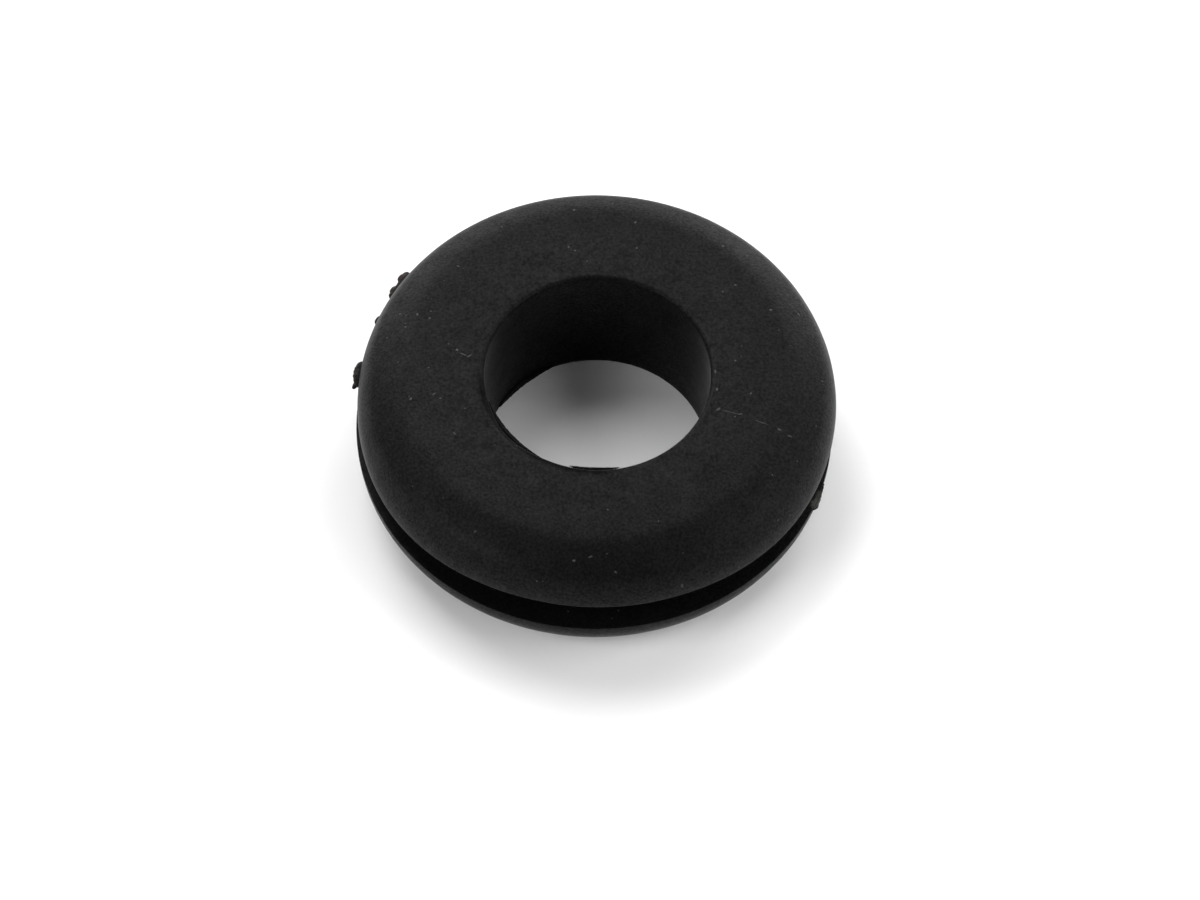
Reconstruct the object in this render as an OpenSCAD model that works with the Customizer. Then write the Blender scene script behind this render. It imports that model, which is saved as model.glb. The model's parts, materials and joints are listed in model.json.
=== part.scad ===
// Rubber grommet: one moulded piece that lines the edge of a hole in a panel.
// Two round-edged flanges hold the panel between them, and a lead passes through the bore.
// It lies on its lower flange. The origin is on the axis, where the part rests, and +Z is up.
// +X is to the right and +Y away from someone who looks at it from the front.

/* [Flanges] */
// Outside diameter of both flanges, at their lips
flange_d = 27; // [25:0.5:36]
// Thickness of each flange, from its flat face to the groove
flange_t = 3.1; // [2:0.1:5]
// Radius of the round on each flange's outer edge
edge_r = 3; // [0.5:0.1:4.5]
// How far the mould's lower half sat to the left of its upper half
mould_shift = 0.13; // [0:0.01:0.4]

/* [Groove] */
// Width of the groove, which is the thickest panel that it takes
groove_w = 2.3; // [1:0.1:6]
// Diameter of the groove's floor, which is the panel hole that it fills
groove_d = 19; // [16:0.25:23]
// Radius in the two corners of the groove's floor
groove_r = 0.3; // [0.05:0.05:0.45]

/* [Bore] */
// Diameter of the bore that the lead passes through
bore_d = 12.7; // [6:0.1:14]
// Radius that takes the sharpness off the bore's two mouths
mouth_r = 0.25; // [0.05:0.05:0.8]

/* [Mould flash] */
// Thickness of the film of flash that is left on the lips
flash_t = 0.3; // [0.1:0.05:0.6]
// Turn of the rear nib round the axis, counter-clockwise from +X
rear_nib_turn = 143; // [120:1:150]
// How far the rear nib stands out past the upper lip
rear_nib_reach = 0.78; // [0.3:0.02:1.5]
// Width of the rear nib along the lip
rear_nib_w = 0.95; // [0.4:0.05:2]
// How far the lobe beside the rear nib stands out past the upper lip
rear_lobe_reach = 0.62; // [0.2:0.02:1.5]
// Turn of the low bump round the axis, counter-clockwise from +X
bump_turn = 157; // [153:0.5:163]
// How far the low bump stands out past the upper lip
bump_reach = 0.25; // [0.1:0.05:1]
// Width of the low bump along the lip
bump_w = 0.7; // [0.4:0.1:1.5]
// Turn of the side nib round the axis, counter-clockwise from +X
side_nib_turn = 173; // [170:0.5:190]
// How far the side nib stands out past the upper lip
side_nib_reach = 0.3; // [0.1:0.05:1.2]
// Width of the side nib along the lip
side_nib_w = 1.2; // [0.4:0.1:2]
// How far the point beside the side nib stands out past the upper lip
side_point_reach = 0.4; // [0.1:0.05:1.2]
// Width of the point beside the side nib
side_point_w = 0.45; // [0.2:0.05:0.8]
// Turn at which the sliver on the lower lip is torn off, counter-clockwise from +X
sliver_turn = -23; // [-60:1:0]
// Turn over which the sliver thins out
sliver_sweep = 10; // [4:1:40]
// How far the torn end of the sliver stands out past the lower lip
sliver_reach = 0.2; // [0.1:0.05:0.8]

/* [Hidden] */
$fn = 96;

flange_r = flange_d / 2;
floor_r = groove_d / 2;
bore_r = bore_d / 2;
height = 2 * flange_t + groove_w;
lower_lip_z = flange_t;
upper_lip_z = height - flange_t;
// Flash is rooted this deep in the lip, so that it is one piece with it.
root = 1.2;
// Flash stays this far from the lip's edge.
flash_lift = 0.05;
// Straight steps along the sliver's edge.
sliver_steps = 8;

// The point at a radius and a turn round the axis.
function polar(r, turn) = [r * cos(turn), r * sin(turn)];

// The turn that a width along the upper lip takes up.
function turn_of(width) = width / flange_r * 180 / PI;

// The corner at [0, 0] that a round of radius r takes off a section that fills +x and +y.
// It also fills a hollow corner that opens to +x and +y.
module corner(r) {
    difference() {
        square(2 * r, center = true);
        translate([r, r])
            circle(r);
    }
}

// A section's lower end, and the same at its upper end.
module both_ends() {
    children();
    translate([0, height])
        mirror([0, 1])
            children();
}

// One flange: its groove side at z = 0, and the round of its outer edge up to the flat face.
module flange() {
    rotate_extrude()
        difference() {
            square([flange_r, flange_t]);
            translate([flange_r, flange_t])
                rotate(180)
                    corner(edge_r);
        }
}

// The neck between the flanges, with the groove's floor and its two round corners.
module neck() {
    rotate_extrude() {
        translate([0, lower_lip_z / 2])
            square([floor_r, height - flange_t]);
        both_ends()
            translate([floor_r, lower_lip_z])
                corner(groove_r);
    }
}

// What the bore takes out, with its mouths eased at both faces.
module bore() {
    rotate_extrude() {
        translate([0, -mouth_r])
            square([bore_r, height + 2 * mouth_r]);
        both_ends()
            translate([bore_r, 0])
                corner(mouth_r);
    }
}

// The plan of a torn tab of flash with a round end.
module tab(turn, reach, width) {
    tip_x = flange_r + reach - width / 2;
    rotate(turn) {
        translate([flange_r - root, -width / 2])
            square([tip_x - flange_r + root, width]);
        translate([tip_x, 0])
            circle(d = width);
    }
}

// The torn film at the upper lip: two nibs with a lobe or a point beside them, and a bump.
module upper_flash() {
    translate([0, 0, upper_lip_z + flash_lift])
        linear_extrude(flash_t) {
            tab(rear_nib_turn, rear_nib_reach, rear_nib_w);
            tab(rear_nib_turn + turn_of(rear_nib_w), rear_lobe_reach, rear_nib_w);
            tab(bump_turn, bump_reach, bump_w);
            tab(side_nib_turn, side_nib_reach, side_nib_w);
            tab(side_nib_turn + turn_of(side_nib_w / 2), side_point_reach, side_point_w);
        }
}

// The film at the lower lip: it thins out one way, and is torn off square the other way.
module sliver() {
    edge = [
        for (i = [0 : sliver_steps])
            polar(flange_r + sliver_reach * (1 - i / sliver_steps),
                  sliver_turn + sliver_sweep * i / sliver_steps)
    ];
    rooted = [
        polar(flange_r - root, sliver_turn + sliver_sweep),
        polar(flange_r - root, sliver_turn)
    ];
    translate([0, 0, lower_lip_z - flash_lift - flash_t])
        linear_extrude(flash_t)
            polygon(concat(edge, rooted));
}

module grommet() {
    color("#2b2d2d")
        difference() {
            union() {
                neck();
                translate([0, 0, upper_lip_z])
                    flange();
                upper_flash();
                translate([-mould_shift, 0, 0]) {
                    translate([0, 0, lower_lip_z])
                        mirror([0, 0, 1])
                            flange();
                    sliver();
                }
            }
            bore();
        }
}

grommet();
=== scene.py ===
import json
import math

import bpy
from mathutils import Matrix, Vector


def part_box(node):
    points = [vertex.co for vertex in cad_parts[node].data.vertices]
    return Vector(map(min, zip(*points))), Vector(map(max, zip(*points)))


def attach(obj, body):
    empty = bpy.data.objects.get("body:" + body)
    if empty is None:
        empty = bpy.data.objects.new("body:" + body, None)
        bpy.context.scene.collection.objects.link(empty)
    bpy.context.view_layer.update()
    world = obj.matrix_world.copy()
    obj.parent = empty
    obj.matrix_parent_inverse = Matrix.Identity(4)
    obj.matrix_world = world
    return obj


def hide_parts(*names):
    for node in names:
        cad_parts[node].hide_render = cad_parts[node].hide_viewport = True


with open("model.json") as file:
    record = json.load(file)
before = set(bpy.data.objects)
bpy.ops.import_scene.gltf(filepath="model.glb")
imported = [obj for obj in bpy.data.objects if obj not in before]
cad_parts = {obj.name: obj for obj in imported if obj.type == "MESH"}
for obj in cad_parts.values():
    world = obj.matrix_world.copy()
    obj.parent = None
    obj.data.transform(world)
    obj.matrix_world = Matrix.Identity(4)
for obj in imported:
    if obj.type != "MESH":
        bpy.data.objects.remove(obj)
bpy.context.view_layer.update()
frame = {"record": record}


# The grommet's body: one piece of black rubber, with two round-edged flanges and a groove between them.
# It is moulded in two halves that part at the lips, so its section is turned round the bore, and the
# lower half sits a little to the left of the upper one.
mm = 0.001
mounts = {mount["name"]: mount["dims"] for mount in frame["record"]["mounts"]}
low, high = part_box("grommet")
bore_r = mounts["bore"]["r_mm"] * mm
floor_r = mounts["groove"]["r_mm"] * mm
groove_w = mounts["groove"]["length_mm"] * mm
flange_r = high.y
height = high.z - low.z
flange_t = (height - groove_w) / 2
lower_lip = flange_t
upper_lip = height - flange_t

# The rounds of the section.
edge_r = 3.0 * mm
mouth_r = 0.25 * mm
foot_r = 0.04 * mm
groove_corner_r = 0.3 * mm
lip_r = 0.03 * mm

# The mismatch of the mould's halves, which sets in between these distances from the axis.
mould_shift = 0.13 * mm
shift_from = floor_r + 0.4 * mm
shift_to = floor_r + 1.2 * mm

# What makes this grommet less than true: the sag of the upper lip, the worn mouth of the bore, the fall of
# the flat faces toward their edges, and the shallow hollows where the rubber shrank.
sag_out = 0.17 * mm
sag_down = 0.22 * mm
worn_depth = 0.36 * mm
worn_width = 0.46 * mm
crown = 0.12 * mm
crown_from = 7.0 * mm
crown_to = 10.5 * mm
crown_fade = 1.3 * mm
hollow_depth = 0.016 * mm
hollow_size = 2.2 * mm

# Where the upper lip sags and where the bore's mouth is worn: the turn of the middle, how far it reaches
# to either side, both in degrees from +X, and the share of the full amount.
sags = [(-143, 42, 1.0), (-40, 34, 0.5)]
worn = [(-142, 30, 1.0)]

# How finely the section and the turned surface are cut.
steps_round = 400
step_along = 0.3 * mm
arc_steps = {
    "Mouth radius": 6,
    "Foot radius": 3,
    "Edge radius": 28,
    "Lip radius": 4,
    "Groove corner radius": 7,
}


def node(tree, kind, feeds=None, **settings):
    """Adds a node with its settings. feeds gives the socket or the value that goes into each input."""
    made = tree.nodes.new(kind)
    for name, value in settings.items():
        setattr(made, name, value)
    for place, source in (feeds or {}).items():
        if isinstance(source, bpy.types.NodeSocket):
            tree.links.new(source, made.inputs[place])
        else:
            made.inputs[place].default_value = source
    return made


def result(tree, kind, feeds=None, **settings):
    """The first output of a new node."""
    return node(tree, kind, feeds, **settings).outputs[0]


def maths(tree, operation, first, second=0.0):
    """The result of a Math node."""
    return result(tree, "ShaderNodeMath", {0: first, 1: second}, operation=operation)


def xyz(tree, x=0.0, y=0.0, z=0.0):
    """A vector made of three numbers."""
    return result(tree, "ShaderNodeCombineXYZ", {0: x, 1: y, 2: z})


def length_of(tree, vector):
    """How long a vector is."""
    return node(tree, "ShaderNodeVectorMath", {0: vector}, operation="LENGTH").outputs["Value"]


def scaled(tree, vector, factor):
    """A vector made longer or shorter by a factor."""
    return result(tree, "ShaderNodeVectorMath", {0: vector, "Scale": factor}, operation="SCALE")


def ramped(tree, value, start, end, low_end=0.0, high_end=1.0, kind="LINEAR"):
    """The value stretched so that start to end becomes low_end to high_end, and no more than that."""
    return result(tree, "ShaderNodeMapRange", {
        "Value": value,
        "From Min": start,
        "From Max": end,
        "To Min": low_end,
        "To Max": high_end,
    }, interpolation_type=kind)


def eased(tree, value, start, end, low_end=0.0, high_end=1.0):
    """A ramp that starts and ends smoothly."""
    return ramped(tree, value, start, end, low_end, high_end, kind="SMOOTHSTEP")


def shifted(tree, geometry, offset):
    """The geometry with each point moved by the offset."""
    return result(tree, "GeometryNodeSetPosition", {"Geometry": geometry, "Offset": offset})


def named_inputs(tree, sizes):
    """Gives a new tree one input for each size, and returns their sockets by name."""
    socket_kinds = {
        int: "NodeSocketInt",
        bpy.types.Material: "NodeSocketMaterial",
        bpy.types.Object: "NodeSocketObject",
    }
    tree.interface.new_socket("Geometry", in_out="INPUT", socket_type="NodeSocketGeometry")
    tree.interface.new_socket("Geometry", in_out="OUTPUT", socket_type="NodeSocketGeometry")
    for name, size in sizes.items():
        kind = socket_kinds.get(type(size), "NodeSocketFloat")
        tree.interface.new_socket(name, in_out="INPUT", socket_type=kind)
    return tree.nodes.new("NodeGroupInput").outputs


def end_tree(tree, geometry, material):
    """Ends a tree with real geometry of one material."""
    real = result(tree, "GeometryNodeRealizeInstances", {"Geometry": geometry})
    real = result(tree, "GeometryNodeSetMaterial", {"Geometry": real, "Material": material})
    node(tree, "NodeGroupOutput", {0: real})


def run_tree(tree, name, mesh, sizes):
    """The plain mesh that the tree makes of a mesh at these sizes."""
    start = bpy.data.objects.new(name, mesh)
    bpy.context.scene.collection.objects.link(start)
    modifier = start.modifiers.new("tree", "NODES")
    modifier.node_group = tree
    for item in tree.interface.items_tree:
        if item.in_out == "INPUT" and item.name in sizes:
            modifier[item.identifier] = sizes[item.name]
    shown = start.evaluated_get(bpy.context.evaluated_depsgraph_get())
    made = bpy.data.meshes.new_from_object(shown)
    bpy.data.objects.remove(start)
    made.name = name
    return made


def pick(tree, data_type, choices):
    """For each point of a curve, the choice that has the point's own number."""
    switch = node(tree, "GeometryNodeIndexSwitch", data_type=data_type)
    while len(switch.index_switch_items) < len(choices):
        switch.index_switch_items.new()
    tree.links.new(result(tree, "GeometryNodeInputIndex"), switch.inputs[0])
    for number, choice in enumerate(choices):
        if isinstance(choice, bpy.types.NodeSocket):
            tree.links.new(choice, switch.inputs[number + 1])
        else:
            switch.inputs[number + 1].default_value = choice
    return switch.outputs[0]


rubber = bpy.data.materials.new("rubber")

body_sizes = {
    "Bore radius": bore_r,
    "Groove floor radius": floor_r,
    "Flange radius": flange_r,
    "Lower lip": lower_lip,
    "Upper lip": upper_lip,
    "Height": height,
    "Edge radius": edge_r,
    "Mouth radius": mouth_r,
    "Foot radius": foot_r,
    "Groove corner radius": groove_corner_r,
    "Lip radius": lip_r,
    "Mould shift": mould_shift,
    "Shift from": shift_from,
    "Shift to": shift_to,
    "Sag out": sag_out,
    "Sag down": sag_down,
    "Worn depth": worn_depth,
    "Worn width": worn_width,
    "Crown": crown,
    "Crown from": crown_from,
    "Crown to": crown_to,
    "Crown fade": crown_fade,
    "Hollow depth": hollow_depth,
    "Hollow size": hollow_size,
    "Step along": step_along,
    "Steps round": steps_round,
    "Rubber": rubber,
}

body = bpy.data.node_groups.new("turned body", "GeometryNodeTree")
size = named_inputs(body, body_sizes)

# The section's corners: how far each lies from the axis, its height (None at the foot, which is at 0), and
# the radius that rounds it.
corners = [
    ("Bore radius", "Height", "Mouth radius"),
    ("Flange radius", "Height", "Edge radius"),
    ("Flange radius", "Upper lip", "Lip radius"),
    ("Groove floor radius", "Upper lip", "Groove corner radius"),
    ("Groove floor radius", "Lower lip", "Groove corner radius"),
    ("Flange radius", "Lower lip", "Lip radius"),
    ("Flange radius", None, "Edge radius"),
    ("Bore radius", None, "Foot radius"),
]

# The section lies with its distance from the bore's wall along +X and its height along -Y, as the sweep
# along a circle of the bore's radius needs it. It starts as a ring of points, each put in its place.
corner_places = []
for out, up, rounding in corners:
    distance = maths(body, "SUBTRACT", size[out], size["Bore radius"])
    drop = maths(body, "MULTIPLY", size[up], -1.0) if up else 0.0
    corner_places.append(xyz(body, distance, drop))
loop = result(body, "GeometryNodeCurvePrimitiveCircle", {"Resolution": len(corners), "Radius": flange_r})
loop = result(body, "GeometryNodeSetPosition", {
    "Geometry": loop,
    "Position": pick(body, "VECTOR", corner_places),
})
loop = result(body, "GeometryNodeFilletCurve", {
    "Curve": loop,
    "Radius": pick(body, "FLOAT", [size[rounding] for out, up, rounding in corners]),
    "Count": pick(body, "INT", [arc_steps[rounding] for out, up, rounding in corners]),
}, mode="POLY")

# The straight sides are cut into steps, so that the surface can be uneven there.
onward = node(body, "GeometryNodeOffsetPointInCurve", {"Offset": 1}).outputs["Point Index"]
here = result(body, "GeometryNodeInputPosition")
there = result(body, "GeometryNodeFieldAtIndex", {"Index": onward, "Value": here}, data_type="FLOAT_VECTOR")
side = node(body, "ShaderNodeVectorMath", {0: here, 1: there}, operation="DISTANCE").outputs["Value"]
cuts = maths(body, "DIVIDE", side, size["Step along"])
loop = result(body, "GeometryNodeSubdivideCurve", {"Curve": loop, "Cuts": cuts})

path = result(body, "GeometryNodeCurvePrimitiveCircle", {
    "Resolution": size["Steps round"],
    "Radius": size["Bore radius"],
})
turned = result(body, "GeometryNodeCurveToMesh", {"Curve": path, "Profile Curve": loop})
turned = result(body, "GeometryNodeSetShadeSmooth", {"Geometry": turned})

# The lower flange moves to the left by the mismatch of the mould's halves, and the neck stays.
x_here, y_here, z_here = node(body, "ShaderNodeSeparateXYZ", {0: here}).outputs
plan_here = xyz(body, x_here, y_here)
from_axis = length_of(body, plan_here)
middle = maths(body, "MULTIPLY", maths(body, "ADD", size["Lower lip"], size["Upper lip"]), 0.5)
in_lower = maths(body, "LESS_THAN", z_here, middle)
moved = eased(body, from_axis, size["Shift from"], size["Shift to"], 0.0, size["Mould shift"])
leftward = maths(body, "MULTIPLY", maths(body, "MULTIPLY", moved, in_lower), -1.0)
turned = shifted(body, turned, xyz(body, x=leftward))


def windows(stretches):
    """How far a point lies within stretches of turn, from 0 outside them to their share in the middle."""
    turn_here = maths(body, "ARCTAN2", y_here, x_here)
    total = 0.0
    for turn, reach, share in stretches:
        off = maths(body, "ABSOLUTE", maths(body, "SUBTRACT", turn_here, math.radians(turn)))
        total = maths(body, "ADD", total, eased(body, off, 0.0, math.radians(reach), share, 0.0))
    return total


# The upper lip sags down and spreads outward, from the lip to where the round of the flange ends.
above_lip = maths(body, "SUBTRACT", z_here, size["Upper lip"])
near_lip = eased(body, above_lip, 0.0, size["Edge radius"], 1.0, 0.0)
near_lip = maths(body, "MULTIPLY", near_lip, maths(body, "GREATER_THAN", z_here, middle))
past_neck = eased(body, from_axis, size["Shift to"], size["Flange radius"])
near_lip = maths(body, "MULTIPLY", near_lip, past_neck)
sag = maths(body, "MULTIPLY", near_lip, windows(sags))
outward = result(body, "ShaderNodeVectorMath", {0: plan_here}, operation="NORMALIZE")
spread = scaled(body, outward, maths(body, "MULTIPLY", sag, size["Sag out"]))

# The mouth of the bore is worn down, most at its edge.
past_mouth = maths(body, "SUBTRACT", from_axis, size["Bore radius"])
wear = ramped(body, past_mouth, 0.0, size["Worn width"], 1.0, 0.0)
wear = maths(body, "MULTIPLY", wear, eased(body, z_here, size["Upper lip"], size["Height"]))
wear = maths(body, "MULTIPLY", wear, windows(worn))
sag_drop = maths(body, "MULTIPLY", sag, size["Sag down"])
wear_drop = maths(body, "MULTIPLY", wear, size["Worn depth"])
lowered = xyz(body, z=maths(body, "MULTIPLY", maths(body, "ADD", sag_drop, wear_drop), -1.0))
departure = result(body, "ShaderNodeVectorMath", {0: spread, 1: lowered}, operation="ADD")
turned = shifted(body, turned, departure)

# The flat faces fall off a little toward their edges, and more steeply the further out.
past_flat = maths(body, "MAXIMUM", maths(body, "SUBTRACT", from_axis, size["Crown from"]), 0.0)
crown_width = maths(body, "SUBTRACT", size["Crown to"], size["Crown from"])
fall = maths(body, "DIVIDE", past_flat, crown_width)
fall = maths(body, "MULTIPLY", maths(body, "MULTIPLY", fall, fall), size["Crown"])
above_middle = maths(body, "SUBTRACT", z_here, middle)
below_face = maths(body, "SUBTRACT", middle, maths(body, "ABSOLUTE", above_middle))
near_face = eased(body, below_face, 0.0, size["Crown fade"], 1.0, 0.0)
fall = maths(body, "MULTIPLY", maths(body, "MULTIPLY", fall, near_face), maths(body, "SIGN", above_middle))
turned = shifted(body, turned, xyz(body, z=maths(body, "MULTIPLY", fall, -1.0)))

# Shallow hollows, as rubber has where it shrank in the mould.
swell = result(body, "ShaderNodeTexNoise", {
    "Scale": maths(body, "DIVIDE", 1.0, size["Hollow size"]),
    "Detail": 2.0,
})
depth = maths(body, "MULTIPLY", maths(body, "MULTIPLY", swell, size["Hollow depth"]), -1.0)
turned = shifted(body, turned, scaled(body, result(body, "GeometryNodeInputNormal"), depth))
end_tree(body, turned, size["Rubber"])

body_mesh = run_tree(body, "body", bpy.data.meshes.new("start"), body_sizes)


# The flash: scraps of the thin film that squeezed out between the mould's halves, the same rubber as the
# body and one with it. It was torn off roughly, and left two nibs, a bump, a strip with a point, a sliver
# and thin rims at the bore's mouth and foot.
flash_voxel = 0.045 * mm
flash_flatness = 0.62
flash_roughness = 0.07 * mm
flash_grain = 0.3 * mm
crease = math.radians(35)

# Each lump of flash: its turn round the axis in degrees, counter-clockwise from +X, and in millimetres how
# far its middle lies past the lip, how far above or below the lip's plane, and its radius.
rear_nib = [
    (143.8, 0.00, 0.20, 0.42), (143.4, 0.20, 0.20, 0.30), (144.6, 0.20, 0.22, 0.34),
    (144.2, 0.36, 0.22, 0.20), (145.9, 0.06, 0.20, 0.30),
]
rear_lobe = [
    (147.2, 0.02, 0.20, 0.32), (148.4, 0.16, 0.20, 0.29), (149.7, 0.06, 0.20, 0.27),
    (148.0, 0.24, 0.20, 0.20),
]
low_bump = [(158.6, -0.12, 0.42, 0.26), (157.8, -0.12, 0.40, 0.24), (158.2, -0.03, 0.40, 0.17)]
side_strip = [
    (172.0, -0.04, 0.36, 0.32), (172.9, 0.03, 0.36, 0.32), (173.8, 0.05, 0.38, 0.32),
    (174.8, 0.04, 0.38, 0.32), (175.8, 0.00, 0.36, 0.31), (176.6, -0.03, 0.30, 0.27),
]
side_point = [(176.2, 0.06, 0.18, 0.19), (176.9, 0.16, 0.16, 0.16), (177.4, 0.23, 0.15, 0.13)]

# The sliver's torn end, and then a row of lumps that thins out: the first one, and how much further round,
# further in and smaller each next one is.
sliver_end = [(-23.2, -0.02, -0.13, 0.12), (-22.8, 0.03, -0.13, 0.13)]
tail_turn, tail_out, tail_up, tail_radius = -22.4, 0.07, -0.13, 0.145
tail_lumps = 14
turn_step = 0.5
in_step = 0.009
radius_step = 0.003
sliver_tail = [
    (tail_turn + turn_step * step, tail_out - in_step * step, tail_up, tail_radius - radius_step * step)
    for step in range(tail_lumps)
]


def burr(first, last, inward, down, widest):
    """The lumps of a thin rim of flash on the bore's edge, between two turns. It tapers to both ends."""
    turns = range(first, last)
    shares = [(turn - first + 0.5) / len(turns) for turn in turns]
    return [
        (turn, -inward, -down, widest * math.sqrt(math.sin(math.pi * share)))
        for turn, share in zip(turns, shares)
    ]


mouth_burr = burr(196, 244, inward=0.03, down=0.44, widest=0.19)
mouth_burr += burr(256, 284, inward=0.03, down=0.15, widest=0.11)
foot_burr = burr(114, 154, inward=0.02, down=-0.20, widest=0.22)

# The edges that the flash is on: its lumps, and the edge's radius, height and shift to the left.
flash_edges = [
    (rear_nib + rear_lobe + low_bump + side_strip + side_point, flange_r, upper_lip, 0.0),
    (sliver_end + sliver_tail, flange_r, lower_lip, mould_shift),
    (mouth_burr, bore_r, height, 0.0),
    (foot_burr, bore_r, 0.0, 0.0),
]
lump_places = []
lump_radii = []
for lumps, edge, level, shift in flash_edges:
    for turn, out, up, radius in lumps:
        reach = edge + out * mm
        angle = math.radians(turn)
        raised = (level + up * mm) / flash_flatness
        lump_places.append((reach * math.cos(angle) - shift, reach * math.sin(angle), raised))
        lump_radii.append(radius * mm)
lump_mesh = bpy.data.meshes.new("lumps")
lump_mesh.from_pydata(lump_places, [], [])
lump_mesh.attributes.new("radius", "FLOAT", "POINT").data.foreach_set("value", lump_radii)

plain_body = bpy.data.objects.new("plain_body", body_mesh)
bpy.context.scene.collection.objects.link(plain_body)
flash_sizes = {
    "Voxel": flash_voxel,
    "Flatness": flash_flatness,
    "Roughness": flash_roughness,
    "Grain": flash_grain,
    "Crease": crease,
    "Body": plain_body,
    "Rubber": rubber,
}
flash = bpy.data.node_groups.new("torn flash", "GeometryNodeTree")
size = named_inputs(flash, flash_sizes)

# The lumps run together into one film, which is then pressed flat and made ragged.
lump_radius = result(flash, "GeometryNodeInputNamedAttribute", {"Name": "radius"}, data_type="FLOAT")
film = result(flash, "GeometryNodeMeshToPoints", {"Mesh": size["Geometry"], "Radius": lump_radius})
film = result(flash, "GeometryNodePointsToVolume", {
    "Points": film,
    "Voxel Size": size["Voxel"],
    "Radius": lump_radius,
}, resolution_mode="VOXEL_SIZE")
film = result(flash, "GeometryNodeVolumeToMesh", {"Volume": film})
film = result(flash, "GeometryNodeTransform", {
    "Geometry": film,
    "Scale": xyz(flash, 1.0, 1.0, size["Flatness"]),
})
ragged = result(flash, "ShaderNodeTexNoise", {"Scale": maths(flash, "DIVIDE", 1.0, size["Grain"])})
bulge = maths(flash, "MULTIPLY", maths(flash, "SUBTRACT", ragged, 0.5), size["Roughness"])
film = shifted(flash, film, scaled(flash, result(flash, "GeometryNodeInputNormal"), bulge))

# Body and film become one solid, smooth but for its creases.
whole = node(flash, "GeometryNodeMeshBoolean", operation="UNION", solver="MANIFOLD")
body_in = node(flash, "GeometryNodeObjectInfo", {"Object": size["Body"]}).outputs["Geometry"]
flash.links.new(body_in, whole.inputs[1])
flash.links.new(film, whole.inputs[1])
whole = result(flash, "GeometryNodeSetShadeSmooth", {"Geometry": whole.outputs[0]})
edge_angle = node(flash, "GeometryNodeInputMeshEdgeAngle").outputs["Unsigned Angle"]
whole = result(flash, "GeometryNodeSetShadeSmooth", {
    "Geometry": whole,
    "Shade Smooth": maths(flash, "LESS_THAN", edge_angle, size["Crease"]),
}, domain="EDGE")
end_tree(flash, whole, size["Rubber"])

grommet_mesh = run_tree(flash, "rubber_grommet", lump_mesh, flash_sizes)
grommet = bpy.data.objects.new("rubber_grommet", grommet_mesh)
bpy.context.scene.collection.objects.link(grommet)
bpy.data.objects.remove(plain_body)


# The finish of the rubber: matte charcoal black with a fine moulded grain and faint mottling. Dust and a
# few scuffs lie on it, a painted highlight lightens the torn sliver at the lower lip, and the torn flash is
# a little browner than the rest.
rubber_dark = (0.0014, 0.0015, 0.0015, 1.0)
rubber_light = (0.0030, 0.0031, 0.0030, 1.0)
dust_and_painted_light_colour = (0.060, 0.060, 0.055, 1.0)
flash_colour = (0.019, 0.013, 0.012, 1.0)
grain_size = 0.15 * mm
grain_depth = 0.014 * mm
mottle_size = 1.1 * mm

# Specks of dust: the size of the cells that they lie in, the share of the cells that hold one, how far it
# reaches as a share of its cell, how ragged it is, and its strength on the darkest and the lightest rubber.
speck_size = 0.35 * mm
speck_share = 0.05
speck_reach = 0.14
ragged_size = 0.12 * mm
speck_faint = 0.15
speck_strong = 0.6

# A mark is solid up to the first share of its half size and ends at the second, less the raggedness.
mark_solid = 1.2
mark_end = 1.7
mark_depth = 0.3 * mm

# Roughness of the dull and the smoother rubber, and what dust and the painted highlight on the sliver add
# to it.
dull = 0.54
smoother = 0.46
dust_and_painted_light_dullness = 0.3

# Specular level in the hollows and on the tops of the grain, and the part of it that is kept where shade is
# painted at the bore's mouth.
hollow_gloss = 0.032
top_gloss = 0.112
painted_shade_gloss = 0.3
sheen = 0.1
sheen_roughness = 0.3

# Where most of the noise lies, where the mottling turns from dark to light, and where it is light enough
# for the specks to be at their strongest.
noise_low = 0.3
noise_high = 0.7
mottle_low = 0.35
mottle_high = 0.65
speck_mottle = 0.6

# Between these distances from the axis the brown of the torn flash sets in.
tint_from = flange_r + 0.10 * mm
tint_to = flange_r + 0.30 * mm

# Painted shade at the front left of the bore's mouth, where the specular level is cut: the turn of its
# middle, the cosines of the turn from there at which it sets in and is full, and the distances from the
# axis at which it starts to fade and ends.
painted_shade_turn = math.radians(230)
painted_shade_from = 0.60
painted_shade_full = 0.75
painted_shade_fade = bore_r + 0.28 * mm
painted_shade_end = bore_r + 0.46 * mm
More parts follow.
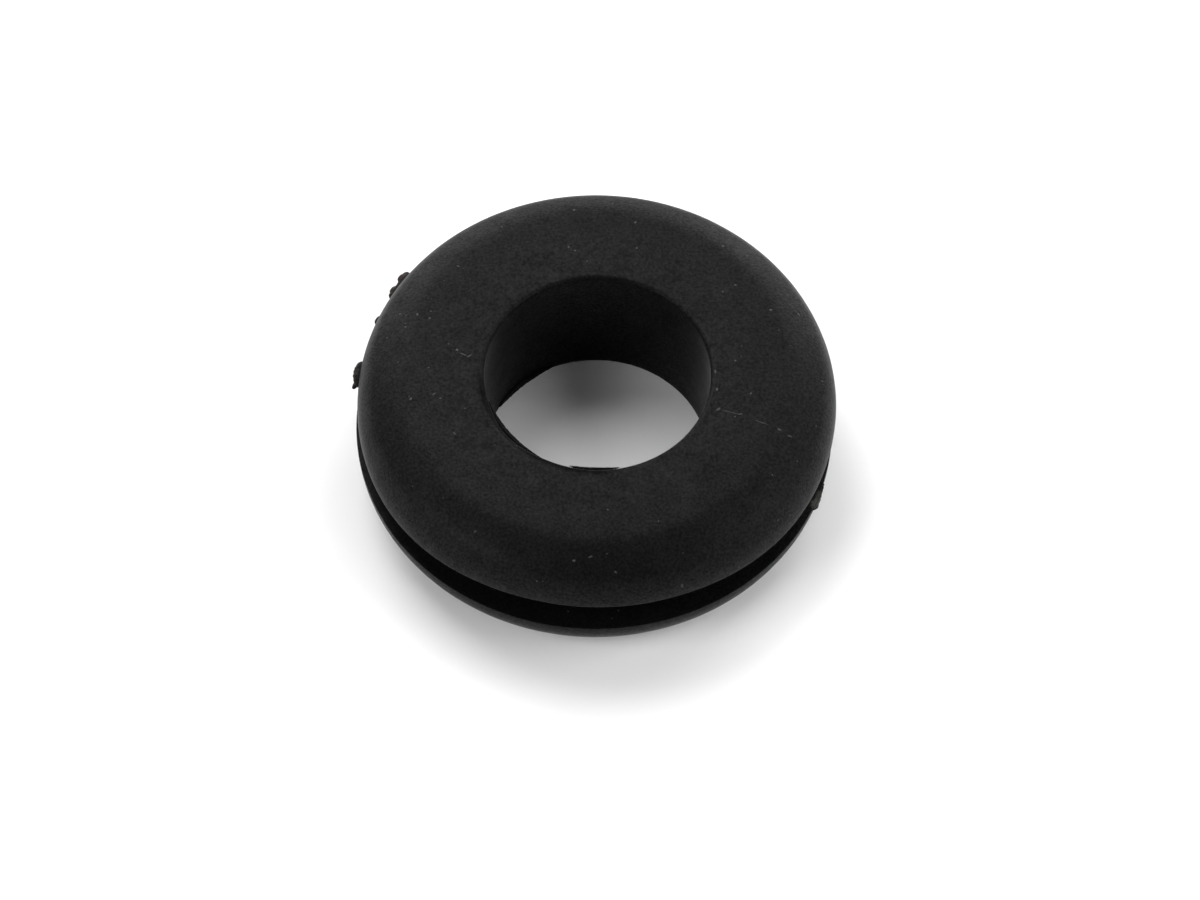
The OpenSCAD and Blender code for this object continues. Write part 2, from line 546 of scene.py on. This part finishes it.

# Each mark of dust or scuff: the place of its middle in millimetres (x, y, z), its half length and half
# width, its turn in degrees from +X, and its strength. The last two are not dust. They are a painted
# highlight on the torn sliver that lightens it where light falls on it.
marks = [
    (-7.9, 1.35, 8.5, 0.08, 0.07, 0, 0.8), (-7.55, 1.05, 8.5, 0.22, 0.05, -25, 0.55),
    (-7.2, 0.95, 8.5, 0.16, 0.05, 35, 0.5), (-10.4, -1.9, 8.4, 0.10, 0.06, 60, 0.6),
    (-9.1, -1.6, 8.5, 0.12, 0.05, 30, 0.5), (-7.9, -4.2, 8.5, 0.12, 0.05, 120, 0.5),
    (-6.6, -10.2, 8.0, 0.10, 0.06, 20, 0.4), (-1.5, 11.2, 8.3, 0.08, 0.07, 0, 0.8),
    (2.0, 10.3, 8.4, 0.07, 0.06, 40, 0.7), (-8.0, 7.1, 8.4, 0.10, 0.05, 150, 0.5),
    (-10.2, 3.8, 8.4, 0.09, 0.06, 80, 0.7), (-9.5, 3.5, 8.5, 0.07, 0.06, 10, 0.6),
    (7.0, 8.9, 8.3, 0.08, 0.06, 60, 0.6), (7.7, 6.1, 8.5, 0.09, 0.06, 20, 0.5),
    (9.7, 4.5, 8.4, 0.08, 0.07, 0, 0.7), (10.7, 5.9, 8.0, 0.10, 0.06, 110, 0.6),
    (11.3, 4.6, 7.9, 0.12, 0.05, 120, 0.5), (-1.1, -12.0, 8.0, 0.10, 0.06, 0, 0.6),
    (-0.2, -11.8, 8.1, 0.14, 0.05, 20, 0.5), (1.2, -12.5, 7.7, 0.09, 0.06, 160, 0.5),
    (4.9, -12.5, 6.3, 0.09, 0.06, 10, 0.4), (6.6, 0.2, 8.4, 0.12, 0.06, 90, 0.7),
    (6.7, -1.0, 8.5, 0.10, 0.06, 80, 0.7), (6.8, -2.3, 8.5, 0.14, 0.06, 40, 0.6),
    (8.0, -2.6, 8.5, 0.12, 0.05, 15, 0.5), (8.6, -1.2, 8.5, 0.08, 0.06, 50, 0.5),
    (9.2, -3.1, 8.5, 0.40, 0.04, 160, 0.35), (10.2, -3.5, 8.4, 0.12, 0.06, 160, 0.6),
    (10.8, -3.8, 8.3, 0.16, 0.05, 170, 0.5), (7.5, -2.5, 8.5, 0.45, 0.04, 165, 0.3),
    # Painted highlight on the torn sliver, where light falls on it.
    (12.4, -5.0, 3.0, 0.40, 0.25, 68, 0.9), (12.6, -4.5, 3.0, 0.40, 0.20, 70, 0.5),
]

rubber.use_nodes = True
finish = rubber.node_tree
shader = finish.nodes["Principled BSDF"]
spot = node(finish, "ShaderNodeTexCoord").outputs["Object"]


def noise(tree, vector, grain, **feeds):
    """The value of a noise whose bumps are about as wide as grain."""
    return result(tree, "ShaderNodeTexNoise", {"Vector": vector, "Scale": 1.0 / grain, **feeds})


def blend(tree, share, first, second):
    """Two colours mixed by a share of the second."""
    mixed = node(tree, "ShaderNodeMix", data_type="RGBA")
    for socket, source in ((mixed.inputs[0], share), (mixed.inputs[6], first), (mixed.inputs[7], second)):
        if isinstance(source, bpy.types.NodeSocket):
            tree.links.new(source, socket)
        else:
            socket.default_value = source
    return mixed.outputs[2]


mottle = noise(finish, spot, mottle_size, Detail=4.0, Roughness=0.6)
grain = noise(finish, spot, grain_size, Detail=2.0, Roughness=0.55)
ragged_edge = noise(finish, spot, ragged_size, Detail=3.0)

# Specks of dust: one in each of a few cells of a fine pattern, broken up by noise, which averages a half.
cells = node(finish, "ShaderNodeTexVoronoi", {"Vector": spot, "Scale": 1.0 / speck_size})
chance = result(finish, "ShaderNodeSeparateColor", {0: cells.outputs["Color"]})
chosen = maths(finish, "LESS_THAN", chance, speck_share)
speck_edge = maths(finish, "MULTIPLY", ragged_edge, 2.0 * speck_reach)
speck = maths(finish, "LESS_THAN", cells.outputs["Distance"], speck_edge)
speck = maths(finish, "MULTIPLY", speck, chosen)
strength_here = ramped(finish, mottle, mottle_low, speck_mottle, speck_faint, speck_strong)
dust_and_painted_light = maths(finish, "MULTIPLY", speck, strength_here)

# The marks of dust and scuffs, and the painted highlight on the sliver, each a patch with a ragged edge.
for x, y, z, half_length, half_width, turn, strength in marks:
    in_mark = result(finish, "ShaderNodeMapping", {
        "Vector": spot,
        "Location": (x * mm, y * mm, z * mm),
        "Rotation": (0.0, 0.0, math.radians(turn)),
        "Scale": (half_length * mm, half_width * mm, mark_depth),
    }, vector_type="TEXTURE")
    mark_edge = maths(finish, "ADD", length_of(finish, in_mark), ragged_edge)
    cover = ramped(finish, mark_edge, mark_solid, mark_end, strength, 0.0)
    dust_and_painted_light = maths(finish, "MAXIMUM", dust_and_painted_light, cover)

# The flash lies past the lip's radius.
across = node(finish, "ShaderNodeSeparateXYZ", {0: spot}).outputs
plan = xyz(finish, across[0], across[1])
radius = length_of(finish, plan)
on_flash = ramped(finish, radius, tint_from, tint_to)
on_flash = maths(finish, "MULTIPLY", on_flash, maths(finish, "GREATER_THAN", across[2], upper_lip))

# Painted shade at the front left of the bore's mouth: the specular level is cut near the bore's wall there.
# The rim of flash and the top beside it then look darker, as if they lay in shade.
painted_shade_way = (math.cos(painted_shade_turn), math.sin(painted_shade_turn), 0.0)
along = node(finish, "ShaderNodeVectorMath", {0: plan, 1: painted_shade_way}, operation="DOT_PRODUCT")
painted_shade_at_mouth = ramped(finish, maths(finish, "DIVIDE", along.outputs["Value"], radius), painted_shade_from, painted_shade_full)
by_mouth = ramped(finish, radius, painted_shade_fade, painted_shade_end, 1.0, 0.0)
painted_shade_at_mouth = maths(finish, "MULTIPLY", painted_shade_at_mouth, by_mouth)

colour = blend(finish, ramped(finish, mottle, mottle_low, mottle_high), rubber_dark, rubber_light)
colour = blend(finish, on_flash, colour, flash_colour)
# Dust lightens the colour, and so does the painted highlight on the sliver.
colour = blend(finish, dust_and_painted_light, colour, dust_and_painted_light_colour)
finish.links.new(colour, shader.inputs["Base Color"])
roughness = ramped(finish, mottle, noise_low, noise_high, dull, smoother)
roughness = maths(finish, "ADD", roughness, maths(finish, "MULTIPLY", dust_and_painted_light, dust_and_painted_light_dullness))
finish.links.new(roughness, shader.inputs["Roughness"])
gloss = ramped(finish, grain, noise_low, noise_high, hollow_gloss, top_gloss)
# The painted shade at the bore's mouth keeps only part of the specular level.
gloss = maths(finish, "MULTIPLY", gloss, ramped(finish, painted_shade_at_mouth, 0.0, 1.0, 1.0, painted_shade_gloss))
finish.links.new(gloss, shader.inputs["Specular IOR Level"])
shader.inputs["Sheen Weight"].default_value = sheen
shader.inputs["Sheen Roughness"].default_value = sheen_roughness
relief = maths(finish, "ADD", grain, dust_and_painted_light)
bump = result(finish, "ShaderNodeBump", {"Height": relief, "Distance": grain_depth})
finish.links.new(bump, shader.inputs["Normal"])

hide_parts("grommet")
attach(grommet, "root")


# The floor: a plain sheet of pale board that the grommet lies on. It is matte, with a faint cloud and a
# fine fibre, as pressed board has.
floor_half = 700 * mm
board_dark = (0.85, 0.85, 0.85, 1.0)
board_light = (0.88, 0.88, 0.88, 1.0)
board_smooth = 0.86
board_rough = 0.94
board_cloud_size = 9.0 * mm
board_fibre_size = 0.25 * mm
board_relief = 0.004 * mm
board = bpy.data.materials.new("board")
board.use_nodes = True
sheet = board.node_tree
board_shader = sheet.nodes["Principled BSDF"]
on_board = node(sheet, "ShaderNodeTexCoord").outputs["Object"]
cloud = noise(sheet, on_board, board_cloud_size, Detail=3.0)
fibre = noise(sheet, on_board, board_fibre_size, Detail=2.0)
sheet.links.new(blend(sheet, cloud, board_dark, board_light), board_shader.inputs["Base Color"])
fibre_roughness = ramped(sheet, fibre, noise_low, noise_high, board_smooth, board_rough)
sheet.links.new(fibre_roughness, board_shader.inputs["Roughness"])
board_bump = result(sheet, "ShaderNodeBump", {"Height": fibre, "Distance": board_relief})
sheet.links.new(board_bump, board_shader.inputs["Normal"])
floor_mesh = bpy.data.meshes.new("floor")
floor_corners = [(x * floor_half, y * floor_half, 0.0) for x, y in ((-1, -1), (1, -1), (1, 1), (-1, 1))]
floor_mesh.from_pydata(floor_corners, [], [(0, 1, 2, 3)])
floor_mesh.materials.append(board)
floor = bpy.data.objects.new("floor", floor_mesh)
bpy.context.scene.collection.objects.link(floor)


# The backdrop: a low wall of white cloth, lit from behind, that stands in a ring on the floor. It keeps
# the ground behind the grommet pale when the camera is near floor level.
white = (1.0, 1.0, 1.0, 1.0)
wall_radius = 640 * mm
wall_height = 120 * mm
wall_steps = 96
cloth_colour = (0.8, 0.8, 0.8, 1.0)
cloth_roughness = 0.9
cloth_cloud_size = 120 * mm
cloth_dim = 0.94
cloth_bright = 1.0
cloth = bpy.data.materials.new("cloth")
cloth.use_nodes = True
weave = cloth.node_tree
cloth_shader = weave.nodes["Principled BSDF"]
on_cloth = node(weave, "ShaderNodeTexCoord").outputs["Object"]
cloth_cloud = noise(weave, on_cloth, cloth_cloud_size, Detail=2.0)
glow = ramped(weave, cloth_cloud, noise_low, noise_high, cloth_dim, cloth_bright)
weave.links.new(glow, cloth_shader.inputs["Emission Strength"])
cloth_shader.inputs["Emission Color"].default_value = white
cloth_shader.inputs["Base Color"].default_value = cloth_colour
cloth_shader.inputs["Roughness"].default_value = cloth_roughness
wall_turns = [2 * math.pi * step / wall_steps for step in range(wall_steps)]
wall_ring = [(wall_radius * math.cos(turn), wall_radius * math.sin(turn)) for turn in wall_turns]
wall_points = [(x, y, z) for z in (0.0, wall_height) for x, y in wall_ring]
wall_faces = []
for step in range(wall_steps):
    next_step = (step + 1) % wall_steps
    wall_faces.append((next_step, step, step + wall_steps, next_step + wall_steps))
wall_mesh = bpy.data.meshes.new("backdrop")
wall_mesh.from_pydata(wall_points, [], wall_faces)
wall_mesh.materials.append(cloth)
backdrop = bpy.data.objects.new("backdrop", wall_mesh)
bpy.context.scene.collection.objects.link(backdrop)


# The light: a dim room, and seven round soft lights that face the grommet. They are strongest behind it,
# so that its shadow falls toward the camera.
room_strength = 0.05
light_distance = 600 * mm
light_width = 380 * mm

# Each light: its name, its azimuth and elevation in degrees, and its power in watts. Azimuth 0 is to the
# right of the camera, and 90 is behind the grommet.
lights = [
    ("right_light", 0, 36, 1.4),
    ("front_right_light", 330, 36, 0.9),
    ("front_left_light", 210, 36, 2.1),
    ("back_left_light", 120, 54, 2.4),
    ("back_right_light", 60, 54, 1.1),
    ("low_right_light", 60, 16, 1.5),
    ("low_left_light", 120, 16, 1.2),
]
scene = bpy.context.scene
scene.view_settings.view_transform = "Standard"
scene.world = bpy.data.worlds.new("room")
scene.world.use_nodes = True
room_light = scene.world.node_tree.nodes["Background"]
room_light.inputs["Color"].default_value = white
room_light.inputs["Strength"].default_value = room_strength
for name, azimuth, elevation, watts in lights:
    turn = math.radians(azimuth)
    rise = math.radians(elevation)
    back = Vector((math.cos(turn) * math.cos(rise), math.sin(turn) * math.cos(rise), math.sin(rise)))
    disc = bpy.data.lights.new(name, "AREA")
    disc.shape = "DISK"
    disc.size = light_width
    disc.energy = watts
    light = bpy.data.objects.new(name, disc)
    light.location = back * light_distance
    light.rotation_euler = back.to_track_quat("Z", "Y").to_euler()
    scene.collection.objects.link(light)


# The camera: it looks down on the grommet from the front, from as far off as the photograph's perspective
# shows, and is rolled by about a degree.
sensor_w = 36.0
photo_w = 1200
focal_pixels = 6141
camera_distance = 351 * mm
camera_elevation = math.radians(57.62)
camera_roll = math.radians(1.02)
aim_right = 0.222 * mm
aim_up = 0.201 * mm
clip_near = 10 * mm
clip_far = 10.0
forward = Vector((0.0, math.cos(camera_elevation), -math.sin(camera_elevation)))
right = Vector((1.0, 0.0, 0.0))
up = right.cross(forward)
camera_data = bpy.data.cameras.new("camera")
camera_data.sensor_width = sensor_w
camera_data.lens = focal_pixels / photo_w * sensor_w
camera_data.clip_start = clip_near
camera_data.clip_end = clip_far
camera = bpy.data.objects.new("camera", camera_data)
camera.rotation_mode = "QUATERNION"
rolled_up = up * math.cos(camera_roll) - right * math.sin(camera_roll)
rolled_right = right * math.cos(camera_roll) + up * math.sin(camera_roll)
camera.rotation_quaternion = Matrix((rolled_right, rolled_up, -forward)).transposed().to_quaternion()
camera.location = right * aim_right + up * aim_up - forward * camera_distance
scene.collection.objects.link(camera)
scene.camera = camera
